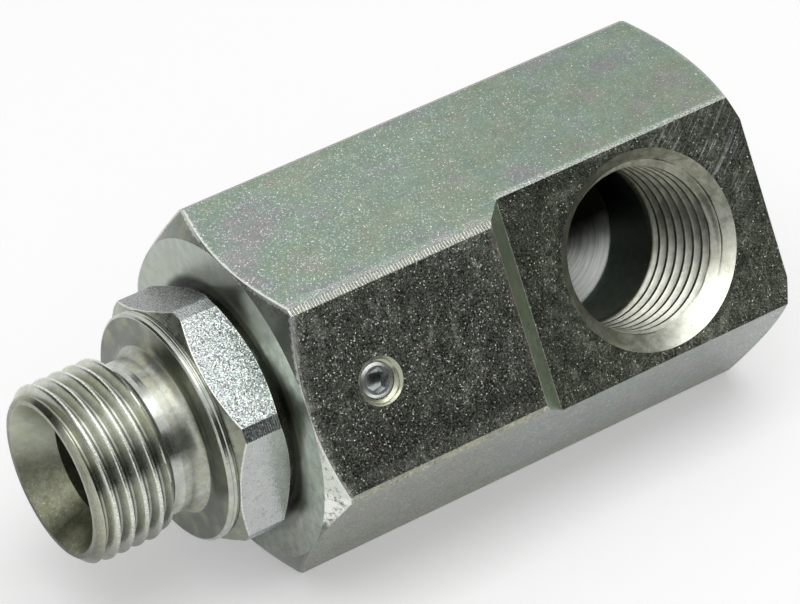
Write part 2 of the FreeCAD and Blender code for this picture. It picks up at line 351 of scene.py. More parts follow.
def race_groove(side):
    """The half-round groove of the balls: side 1 is cut into the bore, side -1 into the journal."""
    swings = [math.pi * step / 12 for step in range(13)]
    return [(RACE_X + side * RACE_RADIUS * math.cos(swing),
             PITCH_RADIUS + side * RACE_RADIUS * math.sin(swing)) for swing in swings]


body_band = on_band(body_radii, BODY_CORNER, 0.035)


def side_of(j):
    """The finish of the bar's side at one angle: a corner band or one of the flats."""
    degrees = math.degrees(body_angles[j])
    if body_band[j]:
        return LOWER if 150 < degrees < 210 else BAND
    return {1: TOP, 2: SIDE}.get(int(degrees // 60), DRAWN)


groove_rear, groove_front, groove_root = WIPER_GROOVE
inside = [(PORT_X, 0), (PORT_X, PASSAGE), (13.76, PASSAGE), (13.76, BORE)] + race_groove(1) + [
    (groove_rear, BORE), (groove_rear, groove_root), (groove_front, groove_root),
    (groove_front, BORE), (FRONT_X + LEAD_IN, BORE)]
outside = chamfered_rows(body_radii, FRONT_X, REAR_X, BODY_CIRCLE,
                         [(FRONT_X + LEAD_IN, BORE), (FRONT_X, BORE + LEAD_IN)], [(REAR_X, 0)])
housing = build_rows("housing_steel", [
    (ring_rows(inside, body_angles), 0, BORED),
    (outside[:5], 0, TURNED),
    (outside[5:8], 0, CONE),
    (outside[8:9], 0, side_of),
    (outside[9:12], 0, CONE),
    (outside[12:], 0, TURNED),
], body_angles, on_axis)

# %% [markdown]
# ## The milled seat
#
# A seat for the hose fitting's washer is milled into one flat, open at the rear and ending in a
# short ramp where the cutter was lifted. It is one straight pass of a flat cutter, so a prism
# that is longer and wider than the bar, with one sloping end, cuts all of it at once.

# %% Milled seat
def make_seat_cutter():
    """A prism over the port flat whose near end slopes like the ramp."""
    floor_x, far_x, top = REAR_X - SEAT_LENGTH, REAR_X + 3, SEAT + SEAT_DEPTH * 2
    profile = [(floor_x, SEAT), (floor_x - SEAT_RAMP * 2, top), (far_x, top), (far_x, SEAT)]
    cutter = bmesh.new()
    ends = []
    for side in (-20, 20):
        corners = []
        for x, distance in profile:
            point = PORT_OUT * distance + PORT_UP * side
            corners.append(cutter.verts.new(Vector((x, point.y, AXIS_Z + point.z)) * MM))
        ends.append(corners)
    near, far = ends
    cutter.faces.new(near)
    cutter.faces.new(far[::-1])
    for k in range(4):
        cutter.faces.new((near[k], far[k], far[(k + 1) % 4], near[(k + 1) % 4]))
    bmesh.ops.recalc_face_normals(cutter, faces=cutter.faces)
    for face in cutter.faces:
        sloping = abs(face.normal.x) > 0.3 and face.calc_center_median().x < PORT_X * MM
        face.material_index = RAMP if sloping else MILLED
    mesh = bpy.data.meshes.new("seat_cutter")
    cutter.to_mesh(mesh)
    cutter.free()
    return placed("seat_cutter", mesh)


carve(housing, make_seat_cutter())

# %% [markdown]
# ## The port
#
# The port is drilled into the seat, countersunk and tapped. We make the solid that the drill and
# the tap would fill, thread and all, and cut that out. Its thread runs into the countersink at
# the top and fades at the bottom, as a tap leaves it. The countersink isn't a ring of its own:
# each point takes the larger of the thread's radius and the cone's, so the crests end on the cone
# in the curved tips that a real port shows.

# %% Port
round_angles = [2 * math.pi * step / 144 for step in range(144)]


def port_radius(along, phase, angle):
    """Radius of the tapped port, where along is how deep below the seat."""
    fade = min(max((THREAD_DEPTH - along) / (0.8 * PITCH), 0), 1)
    thread = thread_form(phase + 0.5, PITCH, PORT_MINOR, PORT_MAJOR)
    groove = max(thread - PORT_MINOR - 0.2, 0)
    return max(PORT_MINOR + groove * fade, PORT_MINOR + COUNTERSINK - along)


port_thread = thread_rows(-0.5, THREAD_DEPTH + 0.2, PITCH, round_angles, port_radius)
port_floor = eased([(THREAD_DEPTH + 0.3, PORT_MINOR), (PORT_DEPTH, PORT_MINOR), (PORT_DEPTH, 0)],
                   0.12)
carve(housing, build_rows("port_cutter", [
    (ring_rows([(-0.5, 0)], round_angles), 0, THREADED),
    (port_thread, 16, THREADED),
    (ring_rows(port_floor[:3], round_angles), 0, BORED),
    (ring_rows(port_floor[3:], round_angles), 0, FACED),
], round_angles, into_hole(PORT_X, SEAT)))

# %% [markdown]
# ## The filling hole
#
# The balls go in through a small tapped hole that opens on their race. It is cut like the port,
# one size smaller, with a light countersink where a drill took the burr off.

# %% Filling hole
SCREW_PITCH, SCREW_RADIUS, SCREW_ROOT = 0.8, 2.5, 2.07
screw_angles = [2 * math.pi * step / 72 for step in range(72)]
place_screw = into_hole(RACE_X, BODY_INRADIUS)


def filling_radius(along, phase, angle):
    """Radius of the tapped filling hole, where along is how deep below the flat."""
    thread = thread_form(phase + 0.5, SCREW_PITCH, SCREW_ROOT, SCREW_RADIUS)
    return max(thread, SCREW_RADIUS + 0.25 - max(along, -0.3))


filling_thread = thread_rows(-0.3, 4.7, SCREW_PITCH, screw_angles, filling_radius, 10)
carve(housing, build_rows("filling_cutter", [
    (ring_rows([(-0.3, 0)], screw_angles), 0, SCREWED),
    (filling_thread, 10, SCREWED),
    (ring_rows([(4.8, 2.1), (8.0, 2.1), (8.0, 0)], screw_angles), 0, BORED),
], screw_angles, place_screw))
smooth(housing)
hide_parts("housing")
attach(housing, "housing")

# %% [markdown]
# ## The spindle
#
# The spindle is one turned piece. From its end: a 60 degree sealing cone in the mouth, the stud's
# pipe thread, a relief where the thread die ran out, a short land, a wide cove that rises into a
# thin collar for the sealing washer, a spanner hexagon with turned chamfers, and inside the
# housing a journal with grooves for its rings and the ball race. We make all of that as one set
# of rows whose angles are chosen for the hexagon's corners, so nothing needs to be cut or joined.

# %% Spindle
(SPINDLE_TURNED, SPINDLE_THREAD, SPINDLE_DRAWN, SPINDLE_BAND, SPINDLE_CONE,
 SPINDLE_CHAMFER, SPINDLE_INSIDE, SPINDLE_LAND, SPINDLE_FACE) = range(9)
RELIEF, LAND, COVE, RIM = 8.72, 9.0, 1.75, 13.1
THREAD_END_X, RELIEF_X, LAND_X = -32.75, -32.65, -31.4
hex_band = on_band(hex_radii, HEX_CORNER, 0.03)


def side_of_hexagon(j):
    """The finish of the hexagon's side at one angle: turned corner or drawn flat."""
    return SPINDLE_BAND if hex_band[j] else SPINDLE_DRAWN


def stud_radius(along, phase, angle):
    """Radius of the stud's thread inside what the end chamfer and the relief leave."""
    chamfer = STUD_NOSE + along - STUD_X
    run_out = RELIEF + max(RELIEF_X - along, 0) * math.tan(math.radians(55))
    thread = thread_form(phase + 0.15, PITCH, PORT_MAJOR, PORT_MINOR)
    return min(thread, PORT_MAJOR, chamfer, run_out)


def spindle_blocks():
    """All rows of the spindle, as a closed loop of blocks."""
    inner = eased([(JOURNAL_END_X, LAND), (JOURNAL_END_X, FLOW_BORE), (-38.58, FLOW_BORE),
                   (STUD_X, 8.7), (STUD_X, STUD_NOSE)], 0.12)
    thread = thread_rows(STUD_X, THREAD_END_X, PITCH, hex_angles, stud_radius)
    relief = eased([(THREAD_END_X, RELIEF + 0.1), (RELIEF_X + 0.1, RELIEF), (LAND_X - 0.55, RELIEF),
                    (LAND_X - 0.05, LAND - 0.02)], 0.06)
    cove = [(LAND_X, LAND)]
    for step in range(7):
        swing = math.pi / 2 * step / 6
        along = COLLAR_X - COVE + COVE * math.sin(swing)
        cove.append((along, LAND + COVE - COVE * math.cos(swing)))
    rim = eased([(COLLAR_X + along, radius) for along, radius in (
        (0, RIM), (0, 13.2), (0.2, 13.42), (0.5, 13.45), (0.62, 13.3), (0.72, 13.3), (0.84, 13.44),
        (1.0, 13.42), (1.18, RIM), (1.3, RIM))], 0.06)
    hexagon = chamfered_rows(hex_radii, HEX_X, HEX_REAR_X, HEX_CIRCLE,
                             [(HEX_X, RIM)], [(HEX_REAR_X, JOURNAL)])[:-1]
    journal = race_groove(-1)
    for start, end, root in ((-6.79, -2.49, 10.94), (-0.54, 5.56, 9.75), (7.51, 11.81, 10.94)):
        journal += [(start, JOURNAL), (start, root), (end, root), (end, JOURNAL)]
    journal += [(JOURNAL_END_X - LEAD_IN, JOURNAL), (JOURNAL_END_X, JOURNAL - LEAD_IN)]
    return [
        (ring_rows(inner[:8], hex_angles), 0, SPINDLE_CONE),
        (ring_rows(inner[8:], hex_angles), 0, SPINDLE_THREAD),
        (thread, 16, SPINDLE_THREAD),
        (ring_rows(relief, hex_angles), 0, SPINDLE_TURNED),
        (ring_rows(cove[:5], hex_angles), 0, SPINDLE_LAND),
        (ring_rows(cove[5:], hex_angles), 0, SPINDLE_FACE),
        (ring_rows(rim, hex_angles), 0, SPINDLE_TURNED),
        (hexagon[:5], 0, SPINDLE_CHAMFER),
        (hexagon[5:6], 0, side_of_hexagon),
        (hexagon[6:], 0, SPINDLE_CHAMFER),
        (ring_rows(journal, hex_angles), 0, SPINDLE_INSIDE),
    ]


spindle = build_rows("spindle_steel", spindle_blocks(), hex_angles, on_axis, loop=True)
smooth(spindle)
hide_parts("spindle")
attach(spindle, "spindle")

# %% [markdown]
# ## The filling screw
#
# This headless screw shuts the filling hole, and its flat tip is the last bit of the race. Its
# top is slightly domed and lies just below the flat. We make its thread as we made the others
# and cut the hexagon socket with its drilled cone, because that is what a key and the eye look
# for. It sits a twentieth of a millimetre inside the hole's thread, in step with it.

# %% Filling screw
DOME, DOME_RADIUS, SOCKET_INRADIUS = 0.45, 2.38, 1.25
screw_start = 0.75 + DOME
screw_end = BODY_INRADIUS - (PITCH_RADIUS + RACE_RADIUS + 0.06)


def screw_radius(along, phase, angle):
    """Radius of the screw's thread, where along is how deep below the flat."""
    in_step = (along + 0.3) / SCREW_PITCH - angle / (2 * math.pi)
    thread = thread_form(in_step, SCREW_PITCH, SCREW_RADIUS - 0.05, SCREW_ROOT - 0.05)
    return min(thread, DOME_RADIUS + along - screw_start, 1.75 + screw_end - along)


dome = eased([(screw_start - DOME, 0), (screw_start - DOME, 1.6), (screw_start - 0.32, 2.0),
              (screw_start, DOME_RADIUS)], 0.15)
screw = build_rows("filling_screw_steel", [
    (ring_rows(dome, screw_angles), 0, 0),
    (thread_rows(screw_start, screw_end, SCREW_PITCH, screw_angles, screw_radius, 12), 12, 0),
    (ring_rows([(screw_end, 0)], screw_angles), 0, 0),
], screw_angles, place_screw)

socket_angles = [math.radians(60 * step + 10) for step in range(6)]
corner = SOCKET_INRADIUS / math.cos(math.pi / 6)
socket_points = [(0.5, 0), (0.5, corner), (screw_start + 1.1, corner), (screw_start + 1.8, 0)]
carve(screw, build_rows("socket_cutter", [(ring_rows(socket_points, socket_angles), 0, 1)],
                        socket_angles, place_screw))
smooth(screw)
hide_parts("filling_screw")
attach(screw, "housing")

# %% [markdown]
# ## A small kit for shader maths
#
# A finish is a graph of nodes, and a graph of more than a few nodes is hard to read as clicks or
# as calls. We want to write `edge * (1 - shade)` and get the Math nodes. So one class wraps a
# socket and lets Python's operators add the nodes, and one method adds any other node: its
# settings first, because they change which sockets it has, then its values and links.

# %% Signals
class Signal:
    """A node's output that Python's operators work on. Each operator adds one Math node."""

    def __init__(self, nodes, socket):
        self.nodes = nodes
        self.socket = socket

    def math(self, operation, *values):
        return self.nodes.add("ShaderNodeMath", {"operation": operation}, dict(enumerate(values)))

    def __rsub__(self, other):
        return self.math("SUBTRACT", other, self)

    def __abs__(self):
        return self.math("ABSOLUTE", self)

    def sine(self):
        return self.math("SINE", self)

    def beside(self, name):
        """Another output of the same node."""
        return Signal(self.nodes, self.socket.node.outputs[name])

    def between(self, low, high):
        """0 below low and 1 above high, with a soft change; swapped limits turn it round."""
        settings = {"interpolation_type": "SMOOTHSTEP"}
        limits = {0: self, 1: min(low, high), 2: max(low, high)}
        rising = self.nodes.add("ShaderNodeMapRange", settings, limits)
        return rising if low < high else 1 - rising


def two_value_method(operation):
    """A method that joins a signal and another value by one Math node."""
    return lambda self, other: self.math(operation, self, other)


for method, operation in {
        "__add__": "ADD", "__radd__": "ADD", "__sub__": "SUBTRACT", "__mul__": "MULTIPLY",
        "__rmul__": "MULTIPLY", "__truediv__": "DIVIDE", "__pow__": "POWER",
        "least": "MINIMUM", "most": "MAXIMUM", "above": "GREATER_THAN"}.items():
    setattr(Signal, method, two_value_method(operation))


class Nodes:
    """A node tree that short calls fill."""

    def __init__(self, tree):
        self.tree = tree

    def add(self, kind, settings=None, sockets=None, output=0):
        """Adds a node of any type, sets it up, fills its sockets and hands back one output."""
        node = self.tree.nodes.new(kind)
        for name, value in (settings or {}).items():
            setattr(node, name, value)
        for key, value in (sockets or {}).items():
            self.put(node.inputs[key], value)
        return Signal(self, node.outputs[output])

    def put(self, socket, value):
        """Links a signal to a socket, or sets a number or colour on it."""
        if isinstance(value, Signal):
            self.tree.links.new(value.socket, socket)
        elif isinstance(value, tuple) and socket.type == "RGBA":
            socket.default_value = (*value, 1)
        else:
            socket.default_value = value


print("a signal's methods:", sorted(name for name in vars(Signal) if not name.startswith("_")))

# %% [markdown]
# ## What every finish starts from
#
# Every finish here knows its place on the union in real millimetres, with z counted from the
# axis, so a stain or a worn line can be put where it is on the real piece without any image or
# unwrapping. The pieces are made at rest where they belong, so their own coordinates serve, and
# the marks turn with the spindle. Below are the few moves that the finishes share: clouds of
# noise, soft-edged patches of it, crystal grains, leaning normals and small relief.

# %% Finish kit
class Finish(Nodes):
    """One material, with the nodes that every finish here starts from."""

    def __init__(self, name):
        self.material = bpy.data.materials.new(name)
        self.material.use_nodes = True
        super().__init__(self.material.node_tree)
        self.shader = self.tree.nodes["Principled BSDF"]
        self.place = self.scaled(self.add("ShaderNodeTexCoord", output="Object"), 1 / MM)
        self.x = self.add("ShaderNodeSeparateXYZ", None, {0: self.place}, "X")
        self.y = self.x.beside("Y")
        self.z = self.x.beside("Z") - AXIS_Z

    def vector(self, operation, first, second):
        """A Vector Math node of two vectors."""
        return self.add("ShaderNodeVectorMath", {"operation": operation}, {0: first, 1: second})

    def scaled(self, vector, amount):
        """A vector made longer, or a colour made lighter, by a number."""
        sockets = {0: vector, "Scale": amount}
        return self.add("ShaderNodeVectorMath", {"operation": "SCALE"}, sockets)

    def unit(self, vector):
        """A vector of length one."""
        return self.add("ShaderNodeVectorMath", {"operation": "NORMALIZE"}, {0: vector})

    def point(self, x, y):
        """A place made of two signals, for noise that runs along something."""
        return self.add("ShaderNodeCombineXYZ", None, {0: x, 1: y})

    def colour(self, share, first, second):
        """Mixes two colours by a share from 0 to 1."""
        return self.add("ShaderNodeMix", {"data_type": "RGBA"}, {0: share, 6: first, 7: second}, 2)

    def noise(self, size, detail=2.0, rough=0.5, offset=0.0, where=None):
        """Cloudy noise from 0 to 1 whose blotches are about `size` millimetres."""
        place = self.place if where is None else where
        if offset:
            place = self.vector("ADD", place, (offset, offset, offset))
        return self.add("ShaderNodeTexNoise", None, {
            "Vector": place, "Scale": 1.0 / size, "Detail": detail, "Roughness": rough})

    def patchy(self, size, low, high, offset=0.0, detail=3.0, rough=0.7, where=None):
        """Patches of noise: 0 where it is below low and 1 where it is above high."""
        return self.noise(size, detail, rough, offset, where).between(low, high)

    def stretched(self, x, y, z):
        """The place with each direction scaled, to draw a pattern out into streaks."""
        return self.vector("MULTIPLY", self.place, (x, y, z))

    def grains(self, size):
        """Crystal-like cells about `size` millimetres wide: a random colour and number for each."""
        cells = {"Vector": self.place, "Scale": 1.0 / size}
        colour = self.add("ShaderNodeTexVoronoi", None, cells, "Color")
        centre = {"Vector": colour.beside("Position")}
        number = self.add("ShaderNodeTexWhiteNoise", {"noise_dimensions": "3D"}, centre, "Value")
        return colour, number

    def tilted(self, amount, colours, under=None):
        """A normal that leans a random way on every grain, which makes metal glitter."""
        normal = under or self.add("ShaderNodeNewGeometry", output="Normal")
        lean = self.scaled(self.vector("SUBTRACT", colours, (0.5, 0.5, 0.5)), amount)
        return self.unit(self.vector("ADD", normal, lean))

    def bumped(self, height, depth, under=None):
        """A normal bent by a height from 0 to 1 that stands for `depth` millimetres."""
        sockets = {"Height": height, "Distance": depth * MM, "Strength": 1.0}
        if under is not None:
            sockets["Normal"] = under
        return self.add("ShaderNodeBump", None, sockets)

    def finish(self, colour, roughness, normal=None, metallic=1.0):
        """Joins the signals to the shader and returns the material."""
        self.put(self.shader.inputs["Base Color"], colour)
        self.put(self.shader.inputs["Roughness"], roughness)
        self.put(self.shader.inputs["Metallic"], metallic)
        if normal is not None:
            self.put(self.shader.inputs["Normal"], normal)
        print(self.material.name, "has", len(self.tree.nodes), "nodes")
        return self.material


# %% [markdown]
# ## Where the wear goes
#
# Wear follows form: edges that stand out rub bright, the rim of a flat is touched more than its
# middle, and the same thing happens at the same distance from an edge all round. So we work the
# distances out from the shape itself. A hexagon's edges come from the same numbers as its mesh,
# and the port's marks from the distance round its axis. Noise breaks each line up.

# %% Masks
BODY_HEXAGON = (BODY_INRADIUS, 30, BODY_CIRCLE, FRONT_X, REAR_X)
SPANNER_HEXAGON = (HEX_INRADIUS, REST_ANGLE + 30, HEX_CIRCLE, HEX_X, HEX_REAR_X)


def from_axis(finish):
    """Distance from the union's axis, in millimetres."""
    return (finish.y * finish.y + finish.z * finish.z) ** 0.5


def up_port_flat(finish):
    """How far up the port's flat a point is, from the port's middle, in millimetres."""
    return finish.y * PORT_UP.y + finish.z * PORT_UP.z


def round_port(finish):
    """Across and up from the port's axis, and the distance from it, in millimetres."""
    across, up = finish.x - PORT_X, up_port_flat(finish)
    return across, up, (across * across + up * up) ** 0.5


def chamfer_edge(finish, hexagon, width):
    """1 on the worn edges where the chamfer cones meet the flats, ragged by noise."""
    inradius, first_normal, circle, near_x, far_x = hexagon
    nearest = None
    for side in range(3):
        angle = math.radians(first_normal + 60 * side)
        height = abs(finish.y * math.cos(angle) + finish.z * math.sin(angle))
        nearest = height if nearest is None else nearest.most(height)
    inward = (far_x - near_x) / 2 - abs(finish.x - (near_x + far_x) / 2)
    past = inward - (from_axis(finish) - circle) * TAN30
    ragged = finish.noise(0.45, 4.0, 0.75) * (2.2 * width) - 1.1 * width
    worn = (inradius - nearest).most(past.most(0.0)) + ragged
    broken = (finish.noise(0.2, offset=4.0) * 0.9 + 0.3).least(1.0)
    return worn.between(width, width * 0.4) * broken


def hexagon_margin(finish):
    """How far a point of the bar's flats is from the front chamfer's curved edge."""
    return finish.x - FRONT_X - (from_axis(finish) - BODY_CIRCLE) * TAN30


def ragged_line(finish, distance, width):
    """1 on a worn, broken line where a distance is near nought."""
    torn = finish.patchy(0.5, 0.40, 0.62, 6.0)
    bright = finish.patchy(0.2, 0.42, 0.58, 4.0, detail=2.0, rough=0.5)
    return (abs(distance) / width).between(1.0, 0.3) * (torn * 0.55 + 0.45) * bright


print("the front chamfer's edge dips", round((BODY_CORNER - BODY_INRADIUS) * TAN30, 2), "mm")

# %% [markdown]
# ## Bright zinc on steel
#
# Every outside face is steel with a thin bright zinc plating. Zinc grows as tiny crystals, so a
# drawn flat glitters: seen against something dark it is a black ground with sparks, and seen
# against something bright it is pale with fine dark grain. A plain roughness can't do that. We
# lean the normal a random way on each grain of about a tenth of a millimetre, and vary the
# colour a little too, so that some of the grain is still there under flat light. The thin
# clear passivation gives faint green, pink and blue clouds a few millimetres wide.

# %% Glittering zinc
CLOUDS = [(0.26, (1.08, 0.95, 1.04)), (0.36, (0.96, 1.01, 1.05)), (0.48, (0.90, 1.10, 0.95)),
          (0.62, (0.98, 1.08, 0.89)), (0.76, (1.07, 0.97, 0.98))]


def clouded(finish, colour, strength):
    """The colours of a clear passivation: green in the middle of a flat, mauve at its rim."""
    rim = hexagon_margin(finish).between(9.0, 1.0) + finish.y.between(-6.0, -9.5) * 0.8
    clouds = finish.noise(7.0, 3.0, 0.6) * 1.25 - 0.13 - rim.least(1.0) * 0.10
    tint = finish.add("ShaderNodeValToRGB", None, {0: clouds})
    stops = tint.socket.node.color_ramp.elements
    while len(stops) < len(CLOUDS):
        stops.new(0.5)
    for stop, (position, shade) in zip(stops, CLOUDS):
        stop.position = position
        stop.color = (*shade, 1)
    return finish.colour(strength, colour, finish.vector("MULTIPLY", colour, tint))


def zinc_flat(name, dark, light, roughness, lean, sparks, clouds=0.0, mottle=(0.35, 0.68),
              grain=0.15, fleck=0.5, spark=0.7, blotch=0.5, hues=0.15, details=None, worn=None,
              calm=lambda finish: 1.0):
    """Glittering zinc: mottled grains, a few of which lean a lot and spark, with a painted glint.
    """
    finish = Finish(name)
    colours, number = finish.grains(grain)
    ground = finish.patchy(grain * 2.0, *mottle, rough=0.75)
    colour = finish.colour(ground * (1 - fleck) + number ** 2.0 * fleck, dark, light)
    colour = finish.scaled(colour, (finish.noise(2.2, 4.0, 0.7, 3.0) - 0.5) * blotch + 1.0)
    if clouds:
        colour = clouded(finish, colour, clouds)
    # painted glints: grains that lean far are also lightened in the base colour, more towards the
    # front
    density = finish.noise(4.0, offset=8.0) * sparks * 1.6 + sparks * 0.2
    density = density * (finish.x.between(35.0, -12.0) * 0.75 + 0.35)
    glint = number.above(1 - density)
    colour = finish.colour(glint * spark, colour, (0.80, 0.81, 0.76))
    even = 1 - hues / 2
    tint = finish.vector("ADD", finish.scaled(colours, hues), (even, even, even))
    colour = finish.vector("MULTIPLY", colour, tint)
    rough = roughness + finish.noise(2.5, 3.0, offset=3.0) * 0.10 - 0.05
    if worn is not None:
        rubbed_and_sheen = worn(finish)
        colour = finish.colour(rubbed_and_sheen * 0.5, colour, (0.48, 0.50, 0.44))
        rough = rough + rubbed_and_sheen * 0.14
    if details is not None:
        colour = details(finish, colour)
    normal = finish.tilted((glint * spark + lean) * calm(finish), colours)
    return finish.finish(colour, rough, normal)


# %% [markdown]
# ## The top and the lower flats
#
# The bar's end chamfers meet its flats in curved edges that rub bright at the front, and are
# pitted low down where the union is knocked on a bench. Along the milled seat the top flat has a
# bright broken line. The lower flats are browner, from the oil and dirt that they stand in.

# %% Finishes of the bar's flats
SEAT_LINE_Y, BAND_LINE_Y = -7.65, -10.3
housing_finishes = {}


def body_edges(finish):
    """The bar's worn edges, brightest at the front and dull below the axis."""
    front = finish.x.between(12.0, 8.0) * 0.8 + 0.2
    upper = finish.z.between(-4.0, 0.0) * 0.85 + 0.15
    return chamfer_edge(finish, BODY_HEXAGON, 0.42) * front * upper


def pitted_edge(finish, colour):
    """Dark pits along the lower edges of the bar's front, where it is knocked on the bench."""
    near = chamfer_edge(finish, BODY_HEXAGON, 1.2)
    pit = finish.patchy(0.55, 0.51, 0.59, 15.0) * finish.z.between(0.5, -1.5)
    return finish.colour(pit * near * 0.75, colour, (0.10, 0.10, 0.08))


def body_details(finish, colour):
    """The worn front and rear edges of the bar, pitted low down."""
    return pitted_edge(finish, finish.colour(body_edges(finish), colour, (0.92, 0.94, 0.87)))


def lower_details(finish, colour):
    """The lower flats are browner at the front and along the bottom edge."""
    brown = finish.vector("MULTIPLY", colour, (0.80, 0.77, 0.62))
    cloud = finish.patchy(2.5, 0.30, 0.70, 17.0, rough=0.5) * 0.3 + 0.7
    front = finish.x.between(10.0, 0.0) * finish.z.between(1.0, -3.0)
    bottom = finish.z.between(-12.5, -18.0)
    share = (front * 0.6 + bottom * 0.7).least(0.9) * cloud
    return body_details(finish, finish.colour(share, colour, brown))


def top_details(finish, colour):
    """The worn edges, and the bright broken line along the milled seat."""
    along_seat = ragged_line(finish, finish.y - SEAT_LINE_Y, 0.75) * finish.x.between(9.5, 11.5)
    colour = finish.colour(along_seat, colour, (0.86, 0.87, 0.84))
    along_band = ragged_line(finish, finish.y - BAND_LINE_Y, 1.2) * finish.x.between(11.0, 9.0)
    colour = finish.colour(along_band * 0.45, colour, (0.84, 0.85, 0.84))
    paler = finish.x.between(36.0, -22.0) * 0.16 + 0.90
    return body_details(finish, finish.scaled(colour, paler))


housing_finishes[DRAWN] = zinc_flat(
    "zinc_on_drawn_flats", (0.25, 0.265, 0.255), (0.44, 0.46, 0.44), 0.32, 0.25, 0.03, 0.4,
    details=lower_details)
housing_finishes[TOP] = zinc_flat(
    "zinc_on_top_flat", (0.225, 0.255, 0.225), (0.36, 0.39, 0.355), 0.30, 0.15, 0.07, 0.8,
    fleck=0.45, grain=0.12, spark=0.6, details=top_details)

# %% [markdown]
# ## The port flat and the milled seat
#
# These two mirror the dark side of the room, so every scuff shows as a pale haze. Handling leaves
# patches and thin scratches, a washer has rubbed a ring round the port, and the milling cutter
# left long curved scratches at the rear. A scuff is rougher as well as paler, so one mask feeds
# both the colour and the roughness.

# %% Finishes of the port flat and the seat
RAMP_FOOT_X, WASHER_RADIUS, LOW_LINE = 10.4, 13.2, -9.6
CUTTER_X, CUTTER_UP = 12.7, 36.2


def scuffs(finish):
    """1 on rubbed patches and thin scratches, as handling leaves them on a dark flat."""
    scuff = finish.patchy(1.0, 0.51, 0.68, 2.0, detail=4.0, where=finish.stretched(0.9, 0.5, 0.35))
    patches = scuff * finish.patchy(7.0, 0.44, 0.60, 9.0, detail=1.0, rough=0.5)
    thin = finish.noise(0.5, 1.0, offset=6.0, where=finish.stretched(2.2, 0.25, 0.25))
    scratch = abs(thin - 0.5).between(0.012, 0.003)
    scratch = scratch * finish.patchy(2.5, 0.52, 0.58, 3.0, detail=1.0, rough=0.5)
    return patches * 0.8 + scratch * 0.8


def port_scuffs(finish):
    """The port flat is also rubbed beside its front edge and where the ramp begins."""
    up = up_port_flat(finish)
    margin = hexagon_margin(finish).between(1.8, 0.2)
    margin = margin * finish.patchy(0.8, 0.35, 0.60, 12.0, rough=0.5)
    haze = finish.x.between(0.0, 8.0) * up.between(0.0, 9.0)
    haze = haze + up.between(7.5, 10.0) * 0.6 + up.between(-8.0, -10.0)
    haze = haze * finish.patchy(1.5, 0.30, 0.62, 14.0, detail=4.0)
    return (scuffs(finish) + margin * 0.8 + haze * 0.5).least(1.0)


def seat_scuffs(finish):
    """The seat is also rubbed where a fitting's washer turned on it, just outside the port."""
    ring = abs(round_port(finish)[2] - WASHER_RADIUS).between(1.8, 0.6)
    patch = finish.patchy(1.8, 0.45, 0.66, 14.0, detail=4.0)
    return (scuffs(finish) + ring * patch * 0.6).least(1.0)


def port_details(finish, colour):
    """A brown line at the ramp's start, painted shade low down, a pale line below, and worn edges.
    """
    up = up_port_flat(finish)
    torn = finish.patchy(0.6, 0.35, 0.55, 1.0)
    colour = finish.colour(finish.x.between(6.8, 7.35) * torn * 0.65, colour, (0.56, 0.48, 0.40))
    # painted shade: the port flat darkens towards its lower side
    colour = finish.scaled(colour, 1 - up.between(-3.0, -9.0) * 0.3)
    low = ragged_line(finish, up - LOW_LINE, 1.1)
    return body_details(finish, finish.colour(low * 0.35, colour, (0.55, 0.55, 0.48)))


def seat_details(finish, colour):
    """Streaks along the cutter's way, and its bright curved scratches beyond the port."""
    up = up_port_flat(finish)
    streak = finish.patchy(1.0, 0.45, 0.72, where=finish.point(finish.x * 3.0, up * 0.5))
    colour = finish.colour(streak * 0.40, colour, (0.44, 0.48, 0.40))
    across, over = finish.x - CUTTER_X, up - CUTTER_UP
    swing = (across * across + over * over) ** 0.5
    lines = finish.point(swing * 5.5, across * 0.13)
    scratch = finish.patchy(1.0, 0.54, 0.60, 5.0, detail=2.0, rough=0.6, where=lines)
    area = finish.x.between(28.5, 34.0) * up.between(-2.0, 6.0) * finish.x.between(43.0, 41.0)
    area = area * finish.patchy(2.2, 0.34, 0.50, 7.0, detail=2.0, rough=0.5)
    colour = finish.colour(scratch * area * 0.9, colour, (1.0, 1.0, 0.94))
    return finish.scaled(colour, finish.x.between(12.0, 30.0) * 0.3 + 0.9)


housing_finishes[SIDE] = zinc_flat(
    "zinc_on_port_flat", (0.03, 0.045, 0.035), (0.84, 0.88, 0.74), 0.29, 0.22, 0.065, fleck=0.6,
    spark=0.33, mottle=(0.41, 0.62), grain=0.12, blotch=1.4, hues=0.28, details=port_details,
    worn=port_scuffs)
housing_finishes[MILLED] = zinc_flat(
    "zinc_on_milled_seat", (0.04, 0.055, 0.035), (0.68, 0.73, 0.58), 0.29, 0.22, 0.05, fleck=0.6,
    spark=0.35, mottle=(0.39, 0.63), grain=0.11, blotch=2.2, hues=0.25, details=seat_details,
    worn=seat_scuffs)

# %% [markdown]
# ## Turned zinc
#
# A lathe leaves fine rings, so turned faces are smoother than drawn ones and mirror their
# surroundings in broad soft bands. One recipe serves them all: a base colour with pale blotches,
# straw-coloured stains and dark pits, over a relief that follows distance and radius. The narrow
# bands on the hexagon's corners were cut with a coarse feed, which left a ridge at every turn.

